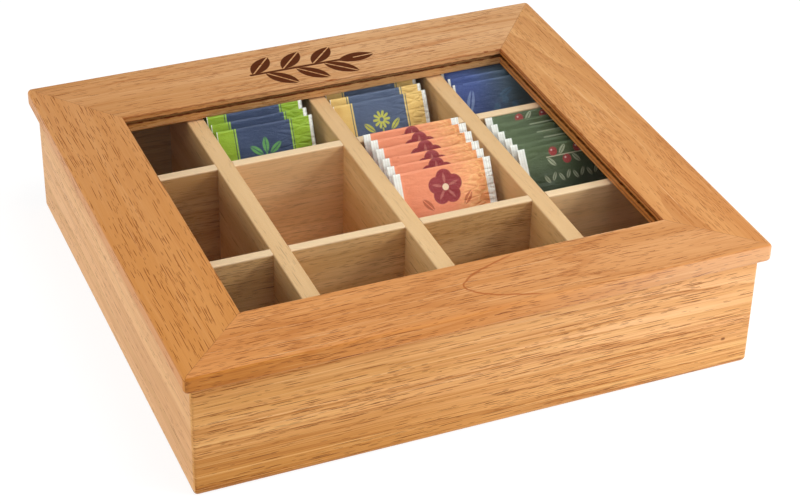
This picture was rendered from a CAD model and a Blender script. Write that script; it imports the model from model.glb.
import math

import bmesh
import bpy
from mathutils import Matrix, Quaternion, Vector, noise


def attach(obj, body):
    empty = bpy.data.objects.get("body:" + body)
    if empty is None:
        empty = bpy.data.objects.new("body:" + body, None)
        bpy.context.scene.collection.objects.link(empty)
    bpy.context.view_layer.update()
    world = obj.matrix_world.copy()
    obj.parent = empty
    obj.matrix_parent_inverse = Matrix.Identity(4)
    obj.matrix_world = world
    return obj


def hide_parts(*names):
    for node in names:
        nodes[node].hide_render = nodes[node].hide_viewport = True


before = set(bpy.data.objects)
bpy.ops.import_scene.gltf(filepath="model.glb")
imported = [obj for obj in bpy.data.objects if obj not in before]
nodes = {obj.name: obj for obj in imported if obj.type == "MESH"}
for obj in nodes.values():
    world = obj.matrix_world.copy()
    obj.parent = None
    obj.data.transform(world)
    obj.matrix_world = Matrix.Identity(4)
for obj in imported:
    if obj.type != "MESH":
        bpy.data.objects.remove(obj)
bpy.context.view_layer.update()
mm = 0.001


# the camera stands at the box's left front corner and looks down into it
camera = {
    "place": (-0.39416, -0.94816, 0.70077),
    "target": (-0.00055, -0.03290, 0.04000),
    "roll": 1.276,
    "lens": 93.98,
}


def addObject(name, data):
    item = bpy.data.objects.new(name, data)
    bpy.context.scene.collection.objects.link(item)
    return item


def standAndAim(item, place, target, roll=0):
    aim = Vector(target) - Vector(place)
    item.location = place
    item.rotation_mode = "QUATERNION"
    item.rotation_quaternion = aim.to_track_quat("-Z", "Y") @ Quaternion((0, 0, 1), math.radians(roll))


def makeCamera():
    data = bpy.data.cameras.new("camera")
    data.lens = camera["lens"]
    data.sensor_width = 36
    data.clip_start = 0.01
    data.clip_end = 50
    bpy.context.scene.camera = addObject("camera", data)
    standAndAim(bpy.context.scene.camera, camera["place"], camera["target"], camera["roll"])


makeCamera()
bpy.context.scene.view_settings.view_transform = "Standard"
print("camera set")


# small helpers for node trees

def tone(red, green, blue):
    return tuple(channel / 255 / 12.92 if channel < 10.3 else ((channel / 255 + 0.055) / 1.055) ** 2.4
                 for channel in (red, green, blue)) + (1,)


def feed(tree, socket, value):
    if isinstance(value, bpy.types.NodeSocket):
        tree.links.new(value, socket)
    else:
        socket.default_value = value


def put(tree, kind, values=None, **settings):
    node = tree.nodes.new("ShaderNode" + kind)
    for name, value in settings.items():
        setattr(node, name, value)
    for socket, value in (values or {}).items():
        feed(tree, node.inputs[socket], value)
    return node


def calc(tree, operation, *values):
    node = put(tree, "Math", operation=operation)
    for socket, value in zip(node.inputs, values):
        feed(tree, socket, value)
    return node.outputs[0]


def plus(tree, first, second):
    return calc(tree, "ADD", first, second)


def minus(tree, first, second):
    return calc(tree, "SUBTRACT", first, second)


def times(tree, first, second):
    return calc(tree, "MULTIPLY", first, second)


def vectorCalc(tree, operation, *values):
    node = put(tree, "VectorMath", operation=operation)
    for socket, value in zip(node.inputs, values):
        feed(tree, socket, value)
    return node.outputs["Value"] if operation in ("LENGTH", "DISTANCE", "DOT_PRODUCT") else node.outputs[0]


def ramp(tree, value, low, high, start=0.0, end=1.0):
    # a soft step of value between low and high
    node = put(tree, "MapRange", {"Value": value, "From Min": low, "From Max": high,
                                  "To Min": start, "To Max": end}, interpolation_type="SMOOTHSTEP")
    return node.outputs["Result"]


def blend(tree, amount, first, second, mode="MIX"):
    node = put(tree, "Mix", data_type="RGBA", blend_type=mode)
    feed(tree, node.inputs[0], amount)
    feed(tree, node.inputs[6], first)
    feed(tree, node.inputs[7], second)
    return node.outputs[2]


def paint(tree, colour, ink, where, amount=1.0, mode="MIX"):
    # lays an ink over the colour where a mask says, as strongly as the amount
    return blend(tree, times(tree, where, amount), colour, ink, mode)


def split(tree, vector):
    return put(tree, "SeparateXYZ", {0: vector}).outputs


def join(tree, *parts):
    return put(tree, "CombineXYZ", dict(enumerate(parts))).outputs[0]


def stretched(tree, vector, sizes):
    return vectorCalc(tree, "MULTIPLY", vector, sizes)


def clouds(tree, vector, detail=2.0, rough=0.5):
    node = put(tree, "TexNoise", {"Vector": vector, "Scale": 1.0, "Detail": detail, "Roughness": rough})
    return node.outputs[0]


def newGroup(name, inputs, outputs):
    tree = bpy.data.node_groups.new(name, "ShaderNodeTree")
    for label, kind, default in inputs:
        socket = tree.interface.new_socket(label, in_out="INPUT", socket_type="NodeSocket" + kind)
        socket.default_value = default
    for label, kind in outputs:
        tree.interface.new_socket(label, in_out="OUTPUT", socket_type="NodeSocket" + kind)
    return tree, tree.nodes.new("NodeGroupInput").outputs, tree.nodes.new("NodeGroupOutput").inputs


def useGroup(tree, group, values):
    node = tree.nodes.new("ShaderNodeGroup")
    node.node_tree = group
    for socket, value in values.items():
        feed(tree, node.inputs[socket], value)
    return node.outputs


def millimetres(tree):
    # a point's place on the object, in millimetres
    where = put(tree, "TexCoord").outputs["Object"]
    return put(tree, "Mapping", {"Vector": where, "Scale": (1000, 1000, 1000)}).outputs[0]


def newMaterial(name):
    material = bpy.data.materials.new(name)
    material.use_nodes = True
    tree = material.node_tree
    return material, tree, tree.nodes["Principled BSDF"]


def dress(tree, surface, colour, roughness, height, strength, distance):
    # hands colour, roughness and a bump of the given height to a material's surface
    feed(tree, surface.inputs["Base Color"], colour)
    feed(tree, surface.inputs["Roughness"], roughness)
    bump = put(tree, "Bump", {"Height": height, "Strength": strength, "Distance": distance})
    feed(tree, surface.inputs["Normal"], bump.outputs[0])


def finishWith(piece, material):
    piece.data.materials.clear()
    piece.data.materials.append(material)


# wood: everything is worked out in millimetres, along the board, across it and into it
# rows of pores: the length of a row's cells, the gap between rows, and half a pore's thickness
poreRows = {"bold": (25.0, 1.5, 0.21), "fine": (9.0, 0.7, 0.21), "long": (60.0, 1.7, 0.2)}
# how fine each of the wood's cloudy patterns is along, across and into the board
cloudSizes = {
    "sway": (0.011, 0.024, 0.024), "ripple": (0.035, 0.2, 0.2), "uneven": (0.001, 0.05, 0.05),
    "bands": (0.0035, 0.075, 0.075), "streaks": (0.008, 1.0, 1.0), "hairs": (0.06, 2.2, 2.2),
    "patches": (0.012, 0.05, 0.05),
}
seedShift = (317.1, 113.7, 71.3)  # moves each board's patterns to a place of their own
paleStreak = tone(248, 214, 166)


def makeGrain():
    tree, given, made = newGroup("grain", (
        ("Board", "Vector", (0, 0, 0)), ("Seed", "Float", 0),
        ("Light", "Color", tone(220, 165, 105)), ("Deep", "Color", tone(200, 140, 80)),
        ("Tint", "Color", tone(205, 155, 85)), ("Line", "Color", tone(165, 105, 55)),
        ("Pore", "Color", tone(120, 72, 35)),
        ("Line Gap", "Float", 6), ("Pith Across", "Float", 0), ("Pith Depth", "Float", 60),
        ("Taper", "Float", 0), ("Warp", "Float", 6), ("Line Amount", "Float", 0.5),
        ("Tint Amount", "Float", 0.4), ("Streak Amount", "Float", 0.4), ("Pore Amount", "Float", 0.6),
        ("Bold Amount", "Float", 0.5), ("Slant", "Float", 0.87),
    ), (("Color", "Color"), ("Roughness", "Float"), ("Height", "Float")))

    def cloudy(name, vector, detail, rough=0.5):
        return clouds(tree, stretched(tree, vector, cloudSizes[name]), detail, rough)

    shift = stretched(tree, join(tree, given["Seed"], given["Seed"], given["Seed"]), seedShift)
    moved = vectorCalc(tree, "ADD", given["Board"], shift)
    sway = times(tree, minus(tree, cloudy("sway", moved, 2.0), 0.5), given["Warp"])
    parts = split(tree, given["Board"])
    # growth rings round a pith that lies somewhere beside or below the board
    across = plus(tree, minus(tree, parts[1], given["Pith Across"]), sway)
    deep = plus(tree, plus(tree, parts[2], given["Pith Depth"]), times(tree, parts[0], given["Taper"]))
    ring = calc(tree, "SQRT", plus(tree, times(tree, across, across), times(tree, deep, deep)))
    ripple = times(tree, minus(tree, cloudy("ripple", moved, 3.0, 0.6), 0.5), 1.3)
    uneven = times(tree, cloudy("uneven", moved, 1.0), 14.0)
    turns = calc(tree, "DIVIDE", plus(tree, plus(tree, ring, ripple), uneven), given["Line Gap"])
    within = calc(tree, "FRACT", turns)
    late = times(tree, ramp(tree, within, 0.74, 0.95), ramp(tree, within, 1.0, 0.96))
    each = put(tree, "TexWhiteNoise", {"W": plus(tree, calc(tree, "FLOOR", turns), given["Seed"])},
               noise_dimensions="1D").outputs["Value"]
    # what follows the fibres
    fibre = vectorCalc(tree, "ADD", moved, join(tree, 0, sway))
    bands = cloudy("bands", fibre, 3.0, 0.55)
    streaks = cloudy("streaks", fibre, 4.0, 0.6)
    hairs = cloudy("hairs", fibre, 2.0, 0.6)
    patches = cloudy("patches", fibre, 1.0)

    # pores: short dark dashes in rows along the fibres, as fine on a board's edges as on its face
    run = split(tree, fibre)
    beside = calc(tree, "MULTIPLY_ADD", run[2], given["Slant"], run[1])

    def dashes(length, gap, thick, keep):
        rows = calc(tree, "DIVIDE", beside, gap)
        row = calc(tree, "FLOOR", rows)
        start = put(tree, "TexWhiteNoise", {"W": row}, noise_dimensions="1D").outputs["Value"]
        steps = calc(tree, "MULTIPLY_ADD", start, 61.0, calc(tree, "DIVIDE", run[0], length))
        chance = put(tree, "TexWhiteNoise", {"Vector": join(tree, row, calc(tree, "FLOOR", steps))},
                     noise_dimensions="2D").outputs["Color"]
        chances = put(tree, "SeparateColor", {0: chance}).outputs
        wanted = times(tree, keep, ramp(tree, patches, 0.3, 0.66, 0.25, 1.0))
        kept = calc(tree, "LESS_THAN", chances[0], wanted)
        middle = calc(tree, "MULTIPLY_ADD", chances[1], 0.5, 0.25)
        beyond = minus(tree, calc(tree, "FRACT", rows), middle)
        off = calc(tree, "DIVIDE", times(tree, beyond, gap), thick)
        share = calc(tree, "MULTIPLY_ADD", chances[2], 0.3, 0.16)
        along = calc(tree, "DIVIDE", minus(tree, calc(tree, "FRACT", steps), 0.5), share)
        away = calc(tree, "MULTIPLY_ADD", off, off, times(tree, along, along))
        return times(tree, ramp(tree, away, 1.0, 0.5), kept)

    bold = dashes(*poreRows["bold"], given["Bold Amount"])
    fine = dashes(*poreRows["fine"], given["Pore Amount"])
    long = dashes(*poreRows["long"], given["Pore Amount"])
    pores = calc(tree, "MAXIMUM", bold, times(tree, fine, 0.62))
    soft = times(tree, each, ramp(tree, within, 0.0, 0.7))
    faded = times(tree, given["Line Amount"], ramp(tree, patches, 0.3, 0.62, 0.2, 1.0))
    colour = blend(tree, ramp(tree, bands, 0.36, 0.64), given["Light"], given["Deep"])
    colour = paint(tree, colour, given["Tint"], soft, given["Tint Amount"])
    colour = paint(tree, colour, given["Line"], ramp(tree, streaks, 0.5, 0.7), given["Streak Amount"])
    colour = paint(tree, colour, paleStreak, ramp(tree, streaks, 0.42, 0.26), given["Streak Amount"])
    colour = paint(tree, colour, given["Line"], late, faded)
    colour = paint(tree, colour, given["Line"], long, 0.6)
    colour = paint(tree, colour, given["Line"], ramp(tree, hairs, 0.4, 0.72), 0.2)
    colour = paint(tree, colour, given["Pore"], pores, 0.9)
    feed(tree, made["Color"], colour)
    sheen = ramp(tree, streaks, 0.2, 0.8, 0.36, 0.46)
    feed(tree, made["Roughness"], plus(tree, times(tree, pores, 0.25), sheen))
    dips = plus(tree, pores, times(tree, late, 0.15))
    feed(tree, made["Height"], minus(tree, times(tree, hairs, 0.12), dips))
    return tree


def makeSeam():
    # a fine dark joint where two boards meet on a slanting plane
    tree, given, made = newGroup("seam", (
        ("Place", "Vector", (0, 0, 0)), ("Across", "Vector", (1, 0, 0)), ("Offset", "Float", 0),
        ("Width", "Float", 0.25)), (("Mask", "Float"),))
    at = vectorCalc(tree, "DOT_PRODUCT", given["Place"], given["Across"])
    away = calc(tree, "ABSOLUTE", minus(tree, at, given["Offset"]))
    breaks = clouds(tree, stretched(tree, given["Place"], (0.15, 0.15, 0.15)))
    line = ramp(tree, calc(tree, "DIVIDE", away, given["Width"]), 1.0, 0.5)
    feed(tree, made["Mask"], times(tree, line, ramp(tree, breaks, 0.3, 0.6, 0.25, 1.0)))
    return tree


def makeLeaf():
    # a leaf: where two round discs overlap, with an open midrib
    tree, given, made = newGroup("leaf", (
        ("Place", "Vector", (0, 0, 0)), ("Centre", "Vector", (0, 0, 0)), ("Angle", "Float", 0),
        ("Half Length", "Float", 10), ("Half Width", "Float", 4), ("Rib", "Float", 0.4),
        ("Soft", "Float", 0.25)), (("Mask", "Float"),))
    length, width = given["Half Length"], given["Half Width"]
    local = vectorCalc(tree, "SUBTRACT", given["Place"], given["Centre"])
    turned = put(tree, "VectorRotate", {"Vector": local, "Angle": given["Angle"]}, rotation_type="Z_AXIS",
                 invert=True).outputs[0]
    flat = stretched(tree, turned, (1, 1, 0))
    squares = plus(tree, times(tree, length, length), times(tree, width, width))
    radius = calc(tree, "DIVIDE", squares, times(tree, width, 2.0))
    offset = minus(tree, radius, width)
    reach = calc(tree, "MAXIMUM", vectorCalc(tree, "DISTANCE", flat, join(tree, 0, offset)),
                 vectorCalc(tree, "DISTANCE", flat, join(tree, 0, times(tree, offset, -1.0))))
    inside = ramp(tree, calc(tree, "DIVIDE", minus(tree, reach, radius), given["Soft"]), 1.0, -1.0)
    side = calc(tree, "ABSOLUTE", split(tree, flat)[1])
    rib = ramp(tree, minus(tree, side, given["Rib"]), -0.15, 0.15)
    feed(tree, made["Mask"], times(tree, inside, rib))
    return tree


def makePatch():
    # a rectangle with rounded corners
    tree, given, made = newGroup("patch", (
        ("Place", "Vector", (0, 0, 0)), ("Centre", "Vector", (0, 0, 0)), ("Half", "Vector", (1, 1, 0)),
        ("Corner", "Float", 0), ("Soft", "Float", 0.15)), (("Mask", "Float"),))
    away = vectorCalc(tree, "ABSOLUTE", vectorCalc(tree, "SUBTRACT", given["Place"], given["Centre"]))
    corner = join(tree, given["Corner"], given["Corner"])
    past = vectorCalc(tree, "SUBTRACT", away, vectorCalc(tree, "SUBTRACT", given["Half"], corner))
    past = stretched(tree, past, (1, 1, 0))
    outside = vectorCalc(tree, "LENGTH", vectorCalc(tree, "MAXIMUM", past, (0, 0, 0)))
    sides = split(tree, past)
    within = calc(tree, "MINIMUM", calc(tree, "MAXIMUM", sides[0], sides[1]), 0.0)
    gap = minus(tree, plus(tree, outside, within), given["Corner"])
    feed(tree, made["Mask"], ramp(tree, calc(tree, "DIVIDE", gap, given["Soft"]), 1.0, -1.0))
    return tree


def makeFlower():
    # petals round a centre
    tree, given, made = newGroup("flower", (
        ("Place", "Vector", (0, 0, 0)), ("Centre", "Vector", (0, 0, 0)), ("Radius", "Float", 5),
        ("Petals", "Float", 8), ("Soft", "Float", 0.2)), (("Mask", "Float"),))
    local = stretched(tree, vectorCalc(tree, "SUBTRACT", given["Place"], given["Centre"]), (1, 1, 0))
    parts = split(tree, local)
    angle = times(tree, calc(tree, "ARCTAN2", parts[1], parts[0]), times(tree, given["Petals"], 0.5))
    lobes = calc(tree, "ABSOLUTE", calc(tree, "COSINE", angle))
    edge = times(tree, given["Radius"], ramp(tree, lobes, 0.0, 1.0, 0.35, 1.0))
    far = vectorCalc(tree, "LENGTH", local)
    petals = ramp(tree, calc(tree, "DIVIDE", minus(tree, far, edge), given["Soft"]), 1.0, -1.0)
    eye = ramp(tree, calc(tree, "DIVIDE", far, given["Radius"]), 0.2, 0.28)
    feed(tree, made["Mask"], times(tree, petals, eye))
    return tree


grain, seam, leaf, patch, flower = makeGrain(), makeSeam(), makeLeaf(), makePatch(), makeFlower()


def mask(tree, place, x, y, halfX, halfY, corner=0.0, soft=0.15):
    return useGroup(tree, patch, {"Place": place, "Centre": (x, y, 0), "Half": (halfX, halfY, 1),
                                  "Corner": corner, "Soft": soft})["Mask"]


def disc(tree, place, x, y, radius, soft=0.15):
    return mask(tree, place, x, y, radius, radius, radius, soft)


def leafMask(tree, place, x, y, angle, halfLength, halfWidth, rib=0.25, soft=0.2):
    return useGroup(tree, leaf, {"Place": place, "Centre": (x, y, 0), "Angle": math.radians(angle),
                                 "Half Length": halfLength, "Half Width": halfWidth, "Rib": rib,
                                 "Soft": soft})["Mask"]


def most(tree, masks):
    found = masks[0]
    for other in masks[1:]:
        found = calc(tree, "MAXIMUM", found, other)
    return found


# turns that lay each board's own length, width and depth along the pattern's first, second and third axis
boardTurns = {
    "flatAcross": (0, 0, 0),
    "flatBack": (0, 0, -90),
    "uprightAcross": (-90, 0, 0),
    "uprightBack": (-90, -90, 0),
}

lidTones = {"Light": tone(219, 158, 95), "Deep": tone(204, 139, 74), "Tint": tone(214, 148, 84),
            "Line": tone(172, 98, 32), "Pore": tone(112, 46, 0)}
caseTones = {"Light": tone(228, 174, 112), "Deep": tone(208, 150, 84), "Tint": tone(202, 152, 72),
             "Line": tone(166, 98, 34), "Pore": tone(100, 42, 0)}
paleTones = {"Light": tone(234, 190, 137), "Deep": tone(218, 169, 111), "Tint": tone(222, 173, 111),
             "Line": tone(174, 122, 72), "Pore": tone(132, 86, 46)}

boards = {
    "rail_left": {"turn": "flatBack", "Seed": 1.3, "Pith Across": 70, "Pith Depth": 40, "Taper": 0.02,
                  "Line Gap": 7, "Line Amount": 0.12, "Pore Amount": 0.3, "Bold Amount": 0.64, "Warp": 4,
                  "Tint Amount": 0.2, "Streak Amount": 0.12, "Slant": -0.87, "Pore": tone(126, 62, 8),
                  "Light": tone(208, 142, 72), "Deep": tone(202, 134, 62), "Tint": tone(204, 136, 64),
                  "farEnd": {"Light": tone(209, 147, 84), "Deep": tone(202, 138, 72),
                             "Tint": tone(206, 140, 74)}},
    "rail_front": {"turn": "flatAcross", "Seed": 2.1, "Pith Across": -134, "Pith Depth": -45, "Taper": -0.10,
                   "Line Gap": 8, "Line Amount": 0.35, "Pore Amount": 0.42, "Bold Amount": 0.36, "Warp": 7,
                   "Light": tone(214, 146, 80), "Deep": tone(200, 130, 64), "Tint": tone(208, 134, 68),
                   "farEnd": {"Light": tone(213, 153, 96), "Deep": tone(199, 137, 78),
                              "Tint": tone(207, 145, 86)}},
    "rail_right": {"turn": "flatBack", "Seed": 3.7, "Pith Across": -138, "Pith Depth": -50, "Taper": 0.09,
                   "Line Gap": 7, "Line Amount": 0.3, "Pore Amount": 0.6, "Bold Amount": 0.04, "Warp": 11,
                   "Tint Amount": 0.85, "Streak Amount": 0.3, "Pore": tone(136, 74, 22),
                   "Light": tone(213, 151, 88), "Deep": tone(204, 139, 76), "Tint": tone(186, 121, 60),
                   "farEnd": {"Light": tone(220, 163, 99), "Deep": tone(211, 152, 87),
                              "Tint": tone(196, 134, 70)}},
    "rail_back": {"turn": "flatAcross", "Seed": 4.9, "Pith Across": 190, "Pith Depth": 60, "Taper": 0.02,
                  "Line Gap": 4, "Line Amount": 0.45, "Pore Amount": 0.4, "Bold Amount": 0.22, "Warp": 6,
                  "Slant": -0.87, "driftTo": 50,
                  "Light": tone(210, 153, 97), "Deep": tone(198, 140, 82), "Tint": tone(203, 143, 85),
                  "farEnd": {"Light": tone(222, 174, 124), "Deep": tone(208, 156, 104),
                             "Tint": tone(213, 158, 106)}},
    "wall_front": {"turn": "uprightAcross", "Seed": 5.2, "Pith Across": -120, "Pith Depth": 40, "Taper": 0.03,
                   "Line Gap": 5.5, "Line Amount": 0.6, "Pore Amount": 0.4, "Bold Amount": 0.6, "Warp": 2.5,
                   "Streak Amount": 0.6,
                   "Light": tone(224, 167, 102), "Deep": tone(208, 148, 80), "Tint": tone(204, 146, 70),
                   "farEnd": {"Light": tone(234, 182, 130), "Deep": tone(216, 160, 104),
                              "Tint": tone(210, 156, 88)}},
    "wall_back": {"turn": "uprightAcross", "Seed": 6.4, "Pith Across": -100, "Pith Depth": 60, "Taper": 0.05,
                  "Line Gap": 6, "Line Amount": 0.5, "Pore Amount": 0.4, "Bold Amount": 0.25, "Warp": 5},
    "wall_left": {"turn": "uprightBack", "Seed": 7.8, "Pith Across": -140, "Pith Depth": 60, "Taper": 0.02,
                  "Line Gap": 9, "Line Amount": 0.3, "Pore Amount": 0.2, "Bold Amount": 0.04, "Warp": 5,
                  "Streak Amount": 0.3},
    "wall_right": {"turn": "uprightBack", "Seed": 8.5, "Pith Across": 30, "Pith Depth": -110, "Taper": 0.10,
                   "Line Gap": 5, "Line Amount": 0.4, "Pore Amount": 0.4, "Bold Amount": 0.2, "Warp": 7},
    "bottom_panel": {"turn": "flatAcross", "Seed": 9.1, "Pith Across": 20, "Pith Depth": 30, "Taper": 0.10,
                     "Line Gap": 6, "Line Amount": 0.35, "Pore Amount": 0.3, "Bold Amount": 0.1, "Warp": 12},
    "divider_long_1": {"turn": "uprightBack", "Seed": 10.6, "Pith Across": -90, "Pith Depth": 50},
    "divider_long_2": {"turn": "uprightBack", "Seed": 11.4, "Pith Across": -60, "Pith Depth": 70},
    "divider_long_3": {"turn": "uprightBack", "Seed": 12.9, "Pith Across": -110, "Pith Depth": 60},
    "divider_cross_1": {"turn": "uprightAcross", "Seed": 13.2, "Pith Across": -80, "Pith Depth": 70,
                        "Pore Amount": 0.5},
    "divider_cross_2": {"turn": "uprightAcross", "Seed": 14.7, "Pith Across": -95, "Pith Depth": 65,
                        "Pore Amount": 0.5},
}

# the long dividers are plainer than the other boards and a little greener
longDividers = {"Line Amount": 0.12, "Pore Amount": 0.16, "Bold Amount": 0.04, "Streak Amount": 0.14,
                "Warp": 5, "Light": tone(232, 190, 134), "Deep": tone(220, 173, 114),
                "Tint": tone(222, 176, 114)}

# the lid's mitres run from its outer corners to the window's, each told by its side and end
lidHalf = (167.5, 156)
windowCorner = {-1: (123, 111.5), 1: (123, 101.5)}  # front and back: the back rail is wider
railMitres = {
    "rail_left": ((-1, -1), (-1, 1)),
    "rail_right": ((1, -1), (1, 1)),
    "rail_front": ((-1, -1), (1, -1)),
    "rail_back": ((-1, 1), (1, 1)),
}
mitreSeam = {"width": 0.3, "amount": 0.4, "tone": tone(120, 70, 34)}


def mitres(tree, place, name):
    # the mitre seams at a rail's two ends
    masks = []
    for side, end in railMitres[name]:
        outer = Vector((lidHalf[0] * side, lidHalf[1] * end))
        inner = Vector((windowCorner[end][0] * side, windowCorner[end][1] * end))
        run = (inner - outer).normalized()
        across = (-run.y, run.x, 0)
        offset = across[0] * outer[0] + across[1] * outer[1]
        masks.append(useGroup(tree, seam, {"Place": place, "Across": across, "Offset": offset,
                                           "Width": mitreSeam["width"]})["Mask"])
    return most(tree, masks)


# the leafy sprig burnt into the back rail
sprig = {
    "middle": (1, 124),
    "stemShift": -3, "stemHalf": 34, "stemThick": 1.1, "stemCorner": 1.0,
    "leaves": ((-27, 9.4, 50), (-19, -9.4, -50), (-7, 9.8, 48), (1, -9.8, -48), (13, 9.4, 46),
               (20, -9.0, -44)),  # along, to the side and angle
    "tip": (33.0, 0.0, 3),
    "halfLength": 12.2, "halfWidth": 5.4, "rib": 0.45, "soft": 0.3,
    "burn": tone(82, 34, 0), "depth": 3.0, "roughness": 0.25,
}


def burntSprig(tree, place):
    midX, midY = sprig["middle"]
    shapes = [mask(tree, place, midX + sprig["stemShift"], midY, sprig["stemHalf"], sprig["stemThick"],
                   sprig["stemCorner"], sprig["soft"])]
    for along, side, angle in sprig["leaves"] + (sprig["tip"],):
        shapes.append(leafMask(tree, place, midX + along, midY + side, angle, sprig["halfLength"],
                               sprig["halfWidth"], sprig["rib"], sprig["soft"]))
    return most(tree, shapes)


# dark stain, old glue and saw marks inside the window: low edge and high edge in millimetres, and strength
stains = {
    "rail_left": ((75.2, 78.0, 0.8),),
    "rail_front": ((75.2, 78.0, 0.8),),
    "rail_back": ((74.9, 77.6, 0.92), (80.1, 80.8, 0.5)),
    "rail_right": ((75.1, 77.5, 0.97), (79.0, 79.6, 0.75), (80.3, 80.9, 0.55), (72.2, 73.0, 0.6)),
}
stainTone = tone(104, 38, 10)
window = {"halfWide": 124.5, "halfLong": 108, "forward": 5, "top": 80.95}
# how far and towards what tone the wood inside the window is turned
windowTint = {
    "rail_left": (0.4, tone(158, 88, 34)),
    "rail_front": (0.4, tone(158, 88, 34)),
    "rail_back": (0.12, tone(158, 88, 34)),
    "rail_right": (0.45, tone(206, 116, 44)),
}


def grooveStain(tree, place, parts, name):
    # the stain's lines, and all of the wood inside the window
    ragged = clouds(tree, stretched(tree, place, (0.22, 0.22, 0.0)), 4.0, 0.6)
    high = calc(tree, "MULTIPLY_ADD", minus(tree, ragged, 0.5), 1.4, parts[2])
    awayX = calc(tree, "ABSOLUTE", parts[0])
    awayY = calc(tree, "ABSOLUTE", plus(tree, parts[1], window["forward"]))
    inside = calc(tree, "LESS_THAN", parts[2], window["top"])
    for away, half in ((awayX, window["halfWide"]), (awayY, window["halfLong"])):
        inside = times(tree, inside, calc(tree, "LESS_THAN", away, half))
    lines = []
    for low, top, strength in stains[name]:
        line = times(tree, ramp(tree, high, low - 0.4, low + 0.2), ramp(tree, high, top + 0.4, top - 0.2))
        lines.append(times(tree, line, strength))
    return times(tree, most(tree, lines), inside), inside


# one strong growth line that turns back on itself near the front rail's middle
growthLine = {"tip": (-6.0, -133.0), "open": 10.5, "end": 36.0, "halfWidth": 0.48, "amount": 0.85,
              "wobble": 5.0, "tone": tone(168, 88, 28)}


def growthMark(tree, place, parts):
    tipX, tipY = growthLine["tip"]
    wobble = minus(tree, clouds(tree, stretched(tree, place, (0.12, 0.12, 0.12)), 3.0), 0.5)
    along = calc(tree, "MULTIPLY_ADD", wobble, growthLine["wobble"], minus(tree, parts[0], tipX))
    across = minus(tree, parts[1], tipY)
    bow = calc(tree, "DIVIDE", times(tree, across, across), growthLine["open"])
    slope = times(tree, across, 2 / growthLine["open"])
    steep = calc(tree, "SQRT", calc(tree, "MULTIPLY_ADD", slope, slope, 1.0))
    away = calc(tree, "ABSOLUTE", calc(tree, "DIVIDE", minus(tree, bow, along), steep))
    line = ramp(tree, away, growthLine["halfWidth"] * 2, growthLine["halfWidth"] * 0.5)
    return times(tree, line, ramp(tree, along, growthLine["end"] + 6, growthLine["end"] - 6))


# lengths of a cross divider whose wood is darker or paler: from, to, amount, tone and how it is laid on
woodChanges = {
    "divider_cross_1": ((0, 78, 1.0, tone(240, 236, 230), "MULTIPLY"),
                        (78, 160, 0.35, tone(250, 216, 176), "MIX")),
    "divider_cross_2": ((-160, -78, 1.0, tone(226, 216, 206), "MULTIPLY"),
                        (-78, 160, 0.3, tone(250, 214, 176), "MIX")),
}
# the dividers' planed tops: where they start, how pale and towards what tone
planedTop = {"low": 67.6, "high": 68.4, "cross": (0.75, tone(255, 222, 184)),
             "long": (0.4, tone(252, 206, 162))}

# the case's unfinished inner faces, greyer than the oiled outside
caseRoom = {"halfWide": 151.2, "halfLong": 140.8, "amount": 0.6}
wallInside = {
    "wall_front": tone(170, 150, 112),
    "wall_back": tone(170, 158, 116),
    "wall_left": tone(170, 158, 116),
    "wall_right": tone(200, 180, 138),
}

# the front wall is deeper in colour low down, and has one small knot and long lines with pale wood between
frontWall = {
    "deeperLeft": tone(226, 210, 166), "deeperRight": tone(240, 232, 208),
    "line": tone(172, 104, 38), "between": tone(232, 184, 118), "lineSizes": (0.004, 0.0, 1.0),
    "knot": (146, 20, 1.3, 0.9), "knotTone": tone(110, 50, 14),
}
# the lid's front edge is deeper than the top at its left end and paler at its right end
frontEdge = {"left": tone(226, 212, 162), "right": tone(236, 206, 176)}


def normals(tree):
    return split(tree, put(tree, "NewGeometry").outputs["Normal"])


def toneRail(tree, place, parts, name, colour):
    colour = paint(tree, colour, mitreSeam["tone"], mitres(tree, place, name), mitreSeam["amount"])
    stain, inside = grooveStain(tree, place, parts, name)
    amount, shade = windowTint[name]
    colour = paint(tree, colour, shade, inside, amount)
    return blend(tree, stain, colour, stainTone)


def toneFrontRail(tree, place, parts, colour):
    colour = paint(tree, colour, growthLine["tone"], growthMark(tree, place, parts), growthLine["amount"])
    edge = ramp(tree, normals(tree)[1], -0.5, -0.8)
    colour = paint(tree, colour, frontEdge["left"], edge, ramp(tree, parts[0], -20, -150), "MULTIPLY")
    return paint(tree, colour, frontEdge["right"], edge, ramp(tree, parts[0], -20, 150, 0.0, 0.2))


def toneWall(tree, parts, name, colour):
    inner = times(tree, calc(tree, "LESS_THAN", calc(tree, "ABSOLUTE", parts[0]), caseRoom["halfWide"]),
                  calc(tree, "LESS_THAN", calc(tree, "ABSOLUTE", parts[1]), caseRoom["halfLong"]))
    return paint(tree, colour, wallInside[name], inner, caseRoom["amount"])


def toneFrontWall(tree, place, parts, drift, colour):
    deeper = blend(tree, drift, frontWall["deeperLeft"], frontWall["deeperRight"])
    colour = blend(tree, ramp(tree, parts[2], 40, 6), colour, deeper, "MULTIPLY")
    thread = clouds(tree, stretched(tree, place, frontWall["lineSizes"]), 3.0, 0.6)
    low = ramp(tree, parts[2], 56, 8, 0.25, 0.7)
    colour = paint(tree, colour, frontWall["line"], ramp(tree, thread, 0.55, 0.63), low)
    colour = paint(tree, colour, frontWall["between"], ramp(tree, thread, 0.45, 0.36), low)
    x, z, halfWide, halfHigh = frontWall["knot"]
    knot = mask(tree, join(tree, parts[0], parts[2]), x, z, halfWide, halfHigh, halfHigh, 0.5)
    return paint(tree, colour, frontWall["knotTone"], knot, 0.8)


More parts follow.
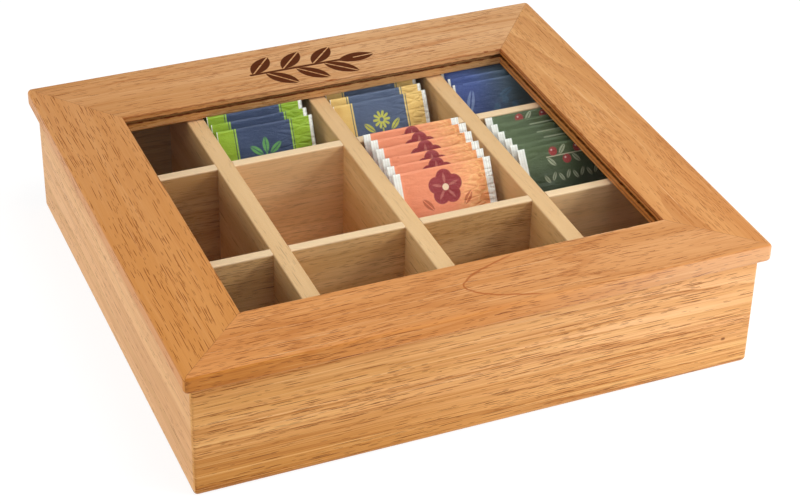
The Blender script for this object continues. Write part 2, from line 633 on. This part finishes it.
def toneDivider(tree, parts, name, colour):
    for start, end, amount, shade, mode in woodChanges.get(name, ()):
        reach = times(tree, ramp(tree, parts[0], start - 4, start + 4),
                      ramp(tree, parts[0], end + 4, end - 4))
        colour = paint(tree, colour, shade, reach, amount, mode)
    pale, planed = planedTop["cross" if "cross" in name else "long"]
    return paint(tree, colour, planed, ramp(tree, parts[2], planedTop["low"], planedTop["high"]), pale)


# what a board has unless it says otherwise
plainBoard = {"Line Gap": 6, "Line Amount": 0.35, "Pore Amount": 0.36, "Bold Amount": 0.1, "Warp": 8,
              "Taper": 0.03}
woodGloss, sprigGloss = 0.2, 0.08


def grainValues(tree, laid, name, board):
    # what a board hands to the grain group, and how its tone drifts from one end to the other
    tones = lidTones if name.startswith("rail") else caseTones if name.startswith("wall") else paleTones
    values = {"Board": laid, **plainBoard, **tones}
    if name.startswith("divider_long"):
        values.update(longDividers)
    values.update({key: value for key, value in board.items() if key not in ("turn", "farEnd", "driftTo")})
    drift = ramp(tree, split(tree, laid)[0], -150, board.get("driftTo", 150))
    for key, value in board.get("farEnd", {}).items():
        values[key] = blend(tree, drift, values[key], value)
    return values, drift


def finishBoard(name, board):
    material, tree, surface = newMaterial("wood_" + name)
    place = millimetres(tree)
    parts = split(tree, place)
    turn = [math.radians(angle) for angle in boardTurns[board["turn"]]]
    laid = put(tree, "Mapping", {"Vector": place, "Rotation": turn}).outputs[0]
    values, drift = grainValues(tree, laid, name, board)
    wood = useGroup(tree, grain, values)
    colour, rough, height = wood["Color"], wood["Roughness"], wood["Height"]
    if name.startswith("rail"):
        colour = toneRail(tree, place, parts, name, colour)
    if name == "rail_front":
        colour = toneFrontRail(tree, place, parts, colour)
    if name.startswith("wall"):
        colour = toneWall(tree, parts, name, colour)
    if name == "wall_front":
        colour = toneFrontWall(tree, place, parts, drift, colour)
    if name.startswith("divider"):
        colour = toneDivider(tree, parts, name, colour)
    if name == "rail_back":
        burnt = times(tree, burntSprig(tree, place), calc(tree, "GREATER_THAN", normals(tree)[2], 0.9))
        colour = blend(tree, burnt, colour, sprig["burn"])
        height = minus(tree, height, times(tree, burnt, sprig["depth"]))
        rough = plus(tree, rough, times(tree, burnt, sprig["roughness"]))
    surface.inputs["Specular IOR Level"].default_value = sprigGloss if name == "rail_back" else woodGloss
    dress(tree, surface, colour, rough, height, 0.35, 0.0001)
    finishWith(nodes[name], material)


for boardName, boardSizes in boards.items():
    finishBoard(boardName, boardSizes)
print("boards finished")


pane = {"tint": (0.955, 0.983, 0.963, 1), "shadowTint": (0.95, 0.96, 0.95, 1), "ior": 1.05}


def finishPane():
    material, tree, surface = newMaterial("clear_pane")
    surface.inputs["Base Color"].default_value = pane["tint"]
    surface.inputs["Roughness"].default_value = 0.0
    surface.inputs["IOR"].default_value = pane["ior"]
    surface.inputs["Transmission Weight"].default_value = 1.0
    # light on its way to the compartments goes straight through
    path = put(tree, "LightPath").outputs
    through = calc(tree, "MAXIMUM", path["Is Shadow Ray"], path["Is Diffuse Ray"])
    clear = put(tree, "BsdfTransparent", {"Color": pane["shadowTint"]})
    either = put(tree, "MixShader", {0: through, 1: surface.outputs[0], 2: clear.outputs[0]})
    feed(tree, tree.nodes["Material Output"].inputs["Surface"], either.outputs[0])
    finishWith(nodes["pane"], material)


# hinges: brushed brass, a little tarnished; the slots of the screws run across their heads
hinges = {
    "middles": (-100.0, 100.0), "screwAside": 10.0,
    "slotHalf": 0.26, "slotSoft": 0.1, "slotDepth": 8.0, "slotTone": tone(70, 48, 20),
    "bright": tone(210, 170, 96), "dull": tone(190, 148, 78),
}


def brassMaterial(name, slotted):
    material, tree, surface = newMaterial(name)
    place = millimetres(tree)
    smudge = clouds(tree, stretched(tree, place, (0.10, 0.16, 0.16)), 4.0, 0.6)
    brushed = clouds(tree, stretched(tree, place, (0.25, 7, 7)), 2.0)
    colour = blend(tree, ramp(tree, smudge, 0.35, 0.7), hinges["bright"], hinges["dull"])
    height = times(tree, brushed, 0.3)
    if slotted:
        along = split(tree, place)[0]
        edges = [hinges["slotHalf"] + hinges["slotSoft"], hinges["slotHalf"] - hinges["slotSoft"]]
        screws = [middle + aside for middle in hinges["middles"]
                  for aside in (-hinges["screwAside"], hinges["screwAside"])]
        slots = most(tree, [ramp(tree, calc(tree, "ABSOLUTE", minus(tree, along, screw)), *edges)
                            for screw in screws])
        colour = blend(tree, slots, colour, hinges["slotTone"])
        height = minus(tree, height, times(tree, slots, hinges["slotDepth"]))
    surface.inputs["Metallic"].default_value = 1.0
    dress(tree, surface, colour, ramp(tree, smudge, 0.3, 0.7, 0.26, 0.36), height, 0.4, 0.00005)
    return material


def finishBrass():
    plates, heads = brassMaterial("brass", False), brassMaterial("brass_screws", True)
    for name, piece in nodes.items():
        if name.startswith("hinge"):
            finishWith(piece, heads if "screw" in name else plates)


finishPane()
finishBrass()
print("pane and hinges finished")


# the sachets: flat paper bags with a crimped white seal down each side
sachet = {
    "wide": 61.5, "paper": 0.7, "full": 3.7, "slope": 15.0, "stand": 5.5, "columns": 12, "rows": 52,
    "dent": 0.35, "pleat": 1.3, "pleatReach": 18.0, "curl": 1.3, "wave": 0.6,
    "ridge": 0.13, "ridgeGap": 0.8, "flatFoot": 12.0, "flatTop": 26.0,
}
room = {"left": -151.0, "front": -140.5, "columnStep": 78.125, "rowStep": 95.6667}
# in each stack the first sachet is the front one; feet and middles are measured from the compartment's
# corner, and rises say how far up a sachet its print sits
stacks = {
    "green": {
        "column": 1, "row": 2, "tall": 72.0,
        "seals": (0.3, 3.6), "fold": 1.3,
        "leans": (22.0, 22.0, 22.5, 28.0, 28.5, 29.0),
        "feet": (1.6, 10.9, 20.4, 32.5, 43.0, 53.0),
        "middles": (31.3, 31.0, 31.6, 32.2, 31.4, 32.0),
    },
    "yellow": {
        "column": 2, "row": 2, "tall": 72.0,
        "seals": (0.3, 3.6), "fold": 1.3,
        "leans": (29.0,) * 6,
        "feet": (4.2, 13.0, 22.5, 33.0, 43.5, 53.5),
        "middles": (31.7, 32.4, 33.0, 32.2, 31.9, 32.6),
    },
    "blue": {
        "column": 3, "row": 2, "tall": 72.0,
        "seals": (1.6, 3.6), "fold": 1.0,
        "leans": (27.5,) * 6,
        "feet": (3.0, 11.3, 20.5, 32.0, 43.5, 54.5),
        "middles": (31.2, 31.6, 31.1, 32.0, 31.5, 32.3),
    },
    "orange": {
        "column": 2, "row": 1, "tall": 78.0,
        "seals": (4.6, 4.6), "fold": 0.2,
        "leans": (31.0,) * 6,
        "feet": (1.9, 11.2, 20.4, 32.0, 42.4, 50.2),
        "middles": (32.0, 32.1, 33.0, 33.9, 34.4, 32.8),
        "rises": (0.0, 2.4, 2.0, 2.2, 2.2, 2.0),
    },
    "darkgreen": {
        "column": 3, "row": 1, "tall": 78.0,
        "seals": (4.4, 4.4), "fold": 0.2,
        "leans": (35.0,) * 6,
        "feet": (1.6, 8.0, 16.0, 24.8, 34.0, 42.6),
        "middles": (35.6, 33.9, 34.0, 33.3, 32.9, 33.3),
        "rises": (0.0, -7.0, -6.0, -7.0, -6.5, 1.0),
    },
}


def smooth(share):
    share = max(0.0, min(1.0, share))
    return share * share * (3 - 2 * share)


def spread(marks, count):
    # places that divide each stretch between two marks into the same number of steps
    found = []
    for start, end in zip(marks, marks[1:]):
        found += [start + (end - start) * step / count for step in range(count)]
    return found + [marks[-1]]


def meshObject(name, bm, material):
    mesh = bpy.data.meshes.new(name)
    bm.to_mesh(mesh)
    bm.free()
    mesh.materials.append(material)
    return addObject(name, mesh)


def makeSachet(name, stack, lean, foot, middle, rise, left, front, seed, material):
    half, tall = sachet["wide"] / 2, stack["tall"]
    sealLeft, sealRight = stack["seals"]
    marks = (-half, sealLeft - half, 0, half - sealRight, half)
    places = spread(marks, sachet["columns"])
    bm = bmesh.new()
    bmesh.ops.create_grid(bm, x_segments=len(places) - 1, y_segments=sachet["rows"], size=0.5)
    for vert in bm.verts:
        vert.co = (places[round((vert.co.x + 0.5) * (len(places) - 1))], -sachet["paper"] / 2,
                   (vert.co.y + 0.5) * tall)
    back = bmesh.ops.extrude_face_region(bm, geom=list(bm.faces))["geom"]
    backVerts = set(item for item in back if isinstance(item, bmesh.types.BMVert))
    bmesh.ops.translate(bm, verts=list(backVerts), vec=(0, sachet["paper"], 0))
    sheet = bm.loops.layers.uv.new("print")
    for face in bm.faces:
        for loop in face.loops:
            loop[sheet].uv = (loop.vert.co.x / sachet["wide"] + 0.5, (loop.vert.co.z - rise) / tall)
    shift = Vector((seed * 7.3, seed * 3.1, seed * 5.7))

    def ripple(*spot):
        return noise.noise(Vector(spot) + shift)

    for vert in bm.verts:
        x, z = vert.co.x, vert.co.z
        side = 1 if vert in backVerts else -1
        inward = min(x - marks[1], marks[3] - x)
        width = sealLeft if x < 0 else sealRight
        bulge = smooth(inward / sachet["slope"]) * smooth(z / sachet["flatFoot"])
        bulge *= smooth((tall - z) / sachet["flatTop"]) * (0.8 + 0.25 * smooth((tall - z) / tall))
        # soft dents all over, and sharper pleats that run in from the seals
        dent = ripple(x / 9, z / 14, 0) * sachet["dent"]
        pleat = abs(ripple(x / 16, z / 4.2, 3)) * sachet["pleat"] * smooth(1 - inward / sachet["pleatReach"])
        curl = ripple(math.copysign(4, x), z / 26, 9) * sachet["curl"]
        wave = ripple(x / 22, z / 40, 6) * sachet["wave"]
        sealed = smooth(-(inward - 0.6) / width)
        offset = side * bulge * (sachet["full"] - sachet["paper"]) / 2
        offset += (dent - pleat * side) * smooth((inward + 1) / 4) + wave
        offset += (curl + stack["fold"]) * sealed
        # the crimped seal's fine ridges
        offset += math.sin(inward * math.pi / sachet["ridgeGap"]) * sachet["ridge"] * smooth(-inward / 0.6)
        vert.co.y += offset
        if stack["fold"] > 0.5:
            vert.co.x -= math.copysign(width * 0.3, x) * sealed
    bmesh.ops.rotate(bm, verts=bm.verts, cent=(0, 0, 0), matrix=Matrix.Rotation(math.radians(-lean), 3, "X"))
    bmesh.ops.translate(bm, verts=bm.verts, vec=(left + middle, front + foot, sachet["stand"]))
    bmesh.ops.scale(bm, verts=bm.verts, vec=(mm, mm, mm))
    bmesh.ops.recalc_face_normals(bm, faces=bm.faces)
    for face in bm.faces:
        face.smooth = True
    return meshObject(name, bm, material)


def foldLines(tree, place, sizes):
    # how far a point is from the nearest fold of the paper
    node = put(tree, "TexVoronoi", {"Vector": stretched(tree, place, sizes), "Scale": 1.0, "Randomness": 1.0},
               feature="DISTANCE_TO_EDGE")
    return node.outputs["Distance"]


paperFinish = {
    "white": tone(250, 247, 243), "shadow": tone(206, 198, 194), "crimpTurn": 3.93,  # radians a millimetre
    "creases": 3.4, "folds": 1.6, "crimps": 0.4, "roughness": 0.45, "gloss": 0.3,
}


def paperTones(tree, surface, place, printed, colour):
    # white crimped seals outside the print, small creases and a satin sheen
    along = split(tree, place)[0]
    inside = times(tree, ramp(tree, along, -0.15, 0.15), ramp(tree, along, printed + 0.15, printed - 0.15))
    crimp = calc(tree, "SINE", times(tree, along, paperFinish["crimpTurn"]))
    white = blend(tree, ramp(tree, crimp, -0.2, 1.0, 0.0, 0.35), paperFinish["white"], paperFinish["shadow"])
    surface.inputs["Specular IOR Level"].default_value = paperFinish["gloss"]
    creases = clouds(tree, stretched(tree, place, (0.09, 0.22, 1)), 5.0, 0.6)
    # sharp folds, strongest beside the right seal
    beside = ramp(tree, along, 0.45 * printed, printed, 0.1, 1.0)
    sharp = times(tree, ramp(tree, foldLines(tree, place, (0.10, 0.26, 1)), 0.0, 0.22), beside)
    crimped = times(tree, crimp, minus(tree, 1.0, inside))
    height = plus(tree, times(tree, creases, paperFinish["creases"]),
                  times(tree, crimped, paperFinish["crimps"]))
    height = calc(tree, "MULTIPLY_ADD", sharp, paperFinish["folds"], height)
    dress(tree, surface, blend(tree, inside, white, colour), paperFinish["roughness"], height, 0.6, 0.0004)


def threeLeaves(tree, place, x, y):
    return most(tree, [
        leafMask(tree, place, x, y + 1.5, 90, 5.2, 2.0),
        leafMask(tree, place, x - 6.0, y - 1, 140, 5.0, 1.9),
        leafMask(tree, place, x + 6.0, y - 1, 40, 5.0, 1.9),
        mask(tree, place, x, y - 6, 0.5, 3),
    ])


def oneFlower(tree, place, x, y):
    bloom = useGroup(tree, flower, {"Place": place, "Centre": (x, y + 1, 0), "Radius": 5.6, "Petals": 10,
                                    "Soft": 0.25})["Mask"]
    return most(tree, [
        bloom,
        mask(tree, place, x, y - 9, 0.5, 5),
        leafMask(tree, place, x + 8.5, y - 3, 45, 4.6, 1.7),
        leafMask(tree, place, x - 8.5, y - 3, 135, 4.6, 1.7),
    ])


# each sachet's colours, and the shape of the green and yellow ones' motif
inks = {
    "green": {"ground": tone(148, 178, 48), "band": tone(56, 68, 100), "darkRim": tone(34, 44, 70),
              "lightRim": tone(158, 190, 74), "motif": tone(104, 164, 92), "shape": threeLeaves},
    "yellow": {"ground": tone(237, 195, 118), "band": tone(79, 91, 120), "darkRim": tone(48, 60, 84),
               "lightRim": tone(230, 200, 126), "motif": tone(200, 196, 84), "shape": oneFlower},
    "blue": {"left": tone(61, 78, 138), "right": tone(88, 108, 120), "leaves": tone(150, 170, 215),
             "berries": tone(90, 124, 158)},
    "orange": {"left": tone(241, 148, 112), "right": tone(245, 169, 116), "edge": tone(226, 128, 58),
               "creases": tone(255, 206, 140), "petals": tone(142, 46, 52), "gaps": tone(206, 130, 116),
               "heart": tone(238, 208, 178), "sprays": tone(176, 82, 52)},
    "darkgreen": {"low": tone(46, 58, 40), "high": tone(76, 90, 58), "twig": tone(214, 204, 176),
                  "leaves": tone(196, 200, 172), "berries": tone(168, 60, 60), "shine": tone(240, 220, 214)},
}
# a coloured band down the middle of the green and yellow sachets: where it starts and ends, as shares of
# the printed width, and its rims in millimetres
band = {"start": 0.20, "end": 0.785, "lightRim": 1.0, "darkRim": 1.5}
motifDrop = 14  # from the top edge of a green or yellow sachet down to its motif


def bandedPrint(tree, place, wide, tall, ink):
    start, end = band["start"] * wide, band["end"] * wide
    middle, half = (start + end) / 2, (end - start) / 2
    colour = ink["ground"]
    for part, rim in (("darkRim", band["darkRim"]), ("lightRim", band["lightRim"]), ("band", 0)):
        colour = blend(tree, mask(tree, place, middle, tall / 2, half + rim, tall), colour, ink[part])
    motif = ink["shape"](tree, place, middle, tall - motifDrop)
    return blend(tree, motif, colour, ink["motif"])


def bluePrint(tree, place, wide, tall, ink):
    colour = blend(tree, ramp(tree, split(tree, place)[0], 8, 46), ink["left"], ink["right"])
    leaves = [leafMask(tree, place, *sizes, 0.5) for sizes in (
        (9, 60, 75, 8, 2.4), (13, 45, 105, 7, 2.2), (4.5, 50, 120, 6, 1.9))]
    colour = paint(tree, colour, ink["leaves"], most(tree, leaves), 0.6)
    berries = [disc(tree, place, 26 + 6.2 * step, 54 + (step % 2) * 3.4, 2.3) for step in range(3)]
    berries.append(leafMask(tree, place, 33, 62, 25, 6, 2.0))
    return paint(tree, colour, ink["berries"], most(tree, berries), 0.6)


# the five-petalled blossom on the orange sachets, with a spray of leaves on each side
blossom = {"drop": 12.6, "petals": 5, "petalAt": 5.6, "petalRadius": 5.0, "gapAt": 5.2, "heart": 2.0,
           "sprayAside": 12.5, "sprayDrop": 8.5}


def orangePrint(tree, place, wide, tall, ink):
    wander = minus(tree, clouds(tree, stretched(tree, place, (0.05, 0.03, 1))), 0.5)
    shade = calc(tree, "MULTIPLY_ADD", wander, 16.0, split(tree, place)[0])
    colour = blend(tree, ramp(tree, shade, 26, 46), ink["left"], ink["right"])
    colour = paint(tree, colour, ink["edge"], ramp(tree, shade, 42, 56), 0.55)
    # paler creases towards the right
    creases = ramp(tree, foldLines(tree, place, (0.13, 0.3, 1)), 0.10, 0.0)
    colour = paint(tree, colour, ink["creases"], times(tree, creases, ramp(tree, shade, 26, 44)), 0.45)
    x, y = 0.5 * wide, tall - blossom["drop"]
    petals, gaps = [], []
    for step in range(blossom["petals"]):
        turn = 90 + 360 * step / blossom["petals"]
        across, up = math.cos(math.radians(turn)), math.sin(math.radians(turn))
        petals.append(disc(tree, place, x + blossom["petalAt"] * across, y + blossom["petalAt"] * up,
                           blossom["petalRadius"], 0.3))
        gaps.append(leafMask(tree, place, x + blossom["gapAt"] * across, y + blossom["gapAt"] * up, turn,
                             3.4, 0.8, 0.0))
    sprays = [leafMask(tree, place, x + side * blossom["sprayAside"], y - blossom["sprayDrop"],
                       90 - side * 38, 5.0, 1.9) for side in (-1, 1)]
    colour = blend(tree, most(tree, petals), colour, ink["petals"])
    colour = paint(tree, colour, ink["gaps"], most(tree, gaps), 0.55)
    colour = blend(tree, disc(tree, place, x, y, blossom["heart"]), colour, ink["heart"])
    return paint(tree, colour, ink["sprays"], most(tree, sprays), 0.8)


# the berry twig on the dark green sachets, with a row of small leaves under it
twig = {"start": 0.24, "drop": 7.5, "half": 22, "berries": 5, "berryGap": 8, "berryRadius": 2.7,
        "rowDrop": 13.0, "rowGap": 4.6, "rowLeaves": 8}


def darkGreenPrint(tree, place, wide, tall, ink):
    colour = blend(tree, ramp(tree, split(tree, place)[1], tall - 36, tall - 2), ink["low"], ink["high"])
    x, y = twig["start"] * wide, tall - twig["drop"]
    stem = mask(tree, place, x + twig["half"], y, twig["half"], 0.35, 0.3)
    leaves, berries, shine, row = [], [], [], []
    for step in range(twig["berries"]):
        at, side = x + twig["berryGap"] * step, 1 if step % 2 else -1
        leaves.append(leafMask(tree, place, at + 3, y + 3.2 * side, 50 * side, 3.8, 1.4, 0.2))
        berries.append(disc(tree, place, at + 5, y - 2.9 * side, twig["berryRadius"]))
        shine.append(disc(tree, place, at + 4.2, y + 0.9 - 2.9 * side, 0.6))
    for step in range(twig["rowLeaves"]):
        row.append(leafMask(tree, place, x - 2 + twig["rowGap"] * step, y - twig["rowDrop"] + step % 2,
                            62 if step % 2 else 118, 3.2, 1.1, 0.2))
    row.append(mask(tree, place, x + 26, tall + 2.6, 18, 0.4, 0.3))
    colour = paint(tree, colour, ink["twig"], stem, 0.8)
    colour = paint(tree, colour, ink["leaves"], most(tree, leaves), 0.75)
    colour = blend(tree, most(tree, berries), colour, ink["berries"])
    colour = paint(tree, colour, ink["shine"], most(tree, shine), 0.8)
    return paint(tree, colour, ink["leaves"], most(tree, row), 0.7)


prints = {"green": bandedPrint, "yellow": bandedPrint, "blue": bluePrint, "orange": orangePrint,
          "darkgreen": darkGreenPrint}


def makePaper(name):
    # the print is laid out in millimetres from the printed area's lower left corner
    stack = stacks[name]
    material, tree, surface = newMaterial("paper_" + name)
    spot = put(tree, "UVMap", uv_map="print").outputs[0]
    place = put(tree, "Mapping", {"Vector": spot, "Scale": (sachet["wide"], stack["tall"], 1),
                                  "Location": (-stack["seals"][0], 0, 0)}).outputs[0]
    printed = sachet["wide"] - sum(stack["seals"])
    paperTones(tree, surface, place, printed, prints[name](tree, place, printed, stack["tall"], inks[name]))
    return material


papers = {name: makePaper(name) for name in stacks}

for stackNumber, (colour, stack) in enumerate(stacks.items()):
    left = room["left"] + stack["column"] * room["columnStep"]
    front = room["front"] + stack["row"] * room["rowStep"]
    rises = stack.get("rises", (0.0,) * 6)
    places = zip(stack["leans"], stack["feet"], stack["middles"], rises)
    for number, (lean, foot, middle, rise) in enumerate(places, start=1):
        piece = makeSachet("teabag_%s_%d" % (colour, number), stack, lean, foot, middle, rise, left, front,
                           stackNumber * 10 + number, papers[colour])
        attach(piece, "case")
        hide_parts("sachet_%s_%d" % (colour, number))
print("sachets made")


# the floor, the world and the lamps
studio = {
    "floorTone": 0.9, "floorSize": 6,
    "floorWhite": 1.14, "whiteShare": 0.75,  # how bright the floor looks, and how far that hides its shadows
    "worldStrength": 0.36,
    "aim": (0, 0, 0.05),
    "mirrored": "top",  # the only lamp that shows in reflections
    "lamps": (
        {"name": "key", "place": (0.62, -0.62, 0.48), "size": 0.3, "power": 3.6},
        {"name": "low", "place": (0.60, -0.62, 0.16), "size": 0.3, "power": 1.6},
        {"name": "fill", "place": (-1.3, 0.0, 0.4), "size": 1.0, "power": 8.0},
        {"name": "top", "place": (0.3, -0.35, 1.45), "size": 1.0, "power": 10.0},
    ),
}


def seenStraight(tree):
    # what the camera, gloss and glass see
    path = put(tree, "LightPath").outputs
    return most(tree, [path["Is Camera Ray"], path["Is Glossy Ray"], path["Is Transmission Ray"]])


def makeFloor():
    bm = bmesh.new()
    bmesh.ops.create_grid(bm, x_segments=1, y_segments=1, size=studio["floorSize"])
    material, tree, surface = newMaterial("floor")
    surface.inputs["Base Color"].default_value = (studio["floorTone"],) * 3 + (1,)
    surface.inputs["Roughness"].default_value = 1.0
    surface.inputs["Specular IOR Level"].default_value = 0.0
    share = times(tree, seenStraight(tree), studio["whiteShare"])
    white = put(tree, "Emission", {"Color": (1, 1, 1, 1), "Strength": studio["floorWhite"]})
    both = put(tree, "MixShader", {0: share, 1: surface.outputs[0], 2: white.outputs[0]})
    feed(tree, tree.nodes["Material Output"].inputs["Surface"], both.outputs[0])
    meshObject("floor", bm, material)


def makeWorld():
    world = bpy.data.worlds.new("studio")
    bpy.context.scene.world = world
    world.use_nodes = True
    tree = world.node_tree
    light = tree.nodes["Background"]
    light.inputs["Color"].default_value = (1, 1, 1, 1)
    light.inputs["Strength"].default_value = studio["worldStrength"]
    backdrop = put(tree, "Background", {"Color": (1, 1, 1, 1), "Strength": 1.0})
    both = put(tree, "MixShader", {0: seenStraight(tree), 1: light.outputs[0], 2: backdrop.outputs[0]})
    feed(tree, tree.nodes["World Output"].inputs["Surface"], both.outputs[0])


def makeLamps():
    for lamp in studio["lamps"]:
        data = bpy.data.lights.new(lamp["name"], "AREA")
        data.shape = "DISK"
        data.size = lamp["size"]
        data.energy = lamp["power"]
        item = addObject(lamp["name"], data)
        item.visible_camera = False
        item.visible_glossy = lamp["name"] == studio["mirrored"]
        standAndAim(item, lamp["place"], studio["aim"])


makeFloor()
makeWorld()
makeLamps()
print("studio made")
